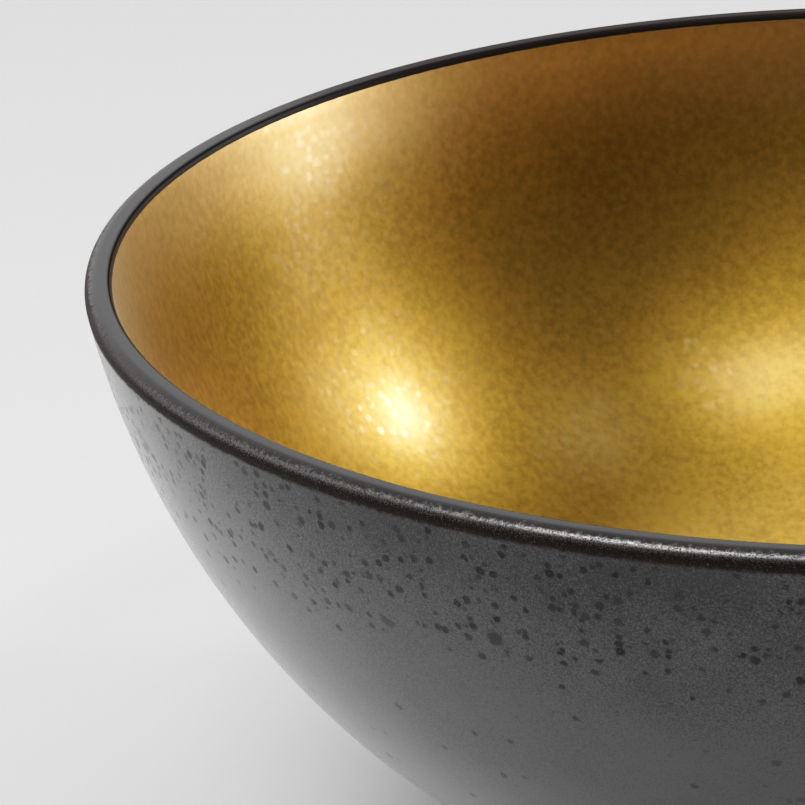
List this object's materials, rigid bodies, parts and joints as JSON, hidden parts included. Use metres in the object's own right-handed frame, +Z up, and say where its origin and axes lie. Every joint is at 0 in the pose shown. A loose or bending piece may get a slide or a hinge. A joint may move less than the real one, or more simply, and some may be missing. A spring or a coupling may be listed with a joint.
{
  "type": "porcelain bowl",
  "caption": "Round decorative porcelain bowl: spherical shell with a rounded, flat-crested lip on a low foot ring, dark satin metallic glaze outside and gold lustre inside.",
  "frame": {"origin": "middle of the foot ring, on the surface that the bowl stands on", "axes": "+Z up along the bowl's axis, X and Y across its round mouth"},
  "size_m": [0.2204, 0.2204, 0.086],
  "materials": {
    "metallic_glaze": "satin gunmetal glaze with dark spots outside, dark brown glossy lip, mottled gold lustre inside, bare pale porcelain under the foot ring"
  },
  "bodies": {
    "root": {"bowl": "metallic_glaze"}
  },
  "joints": []
}
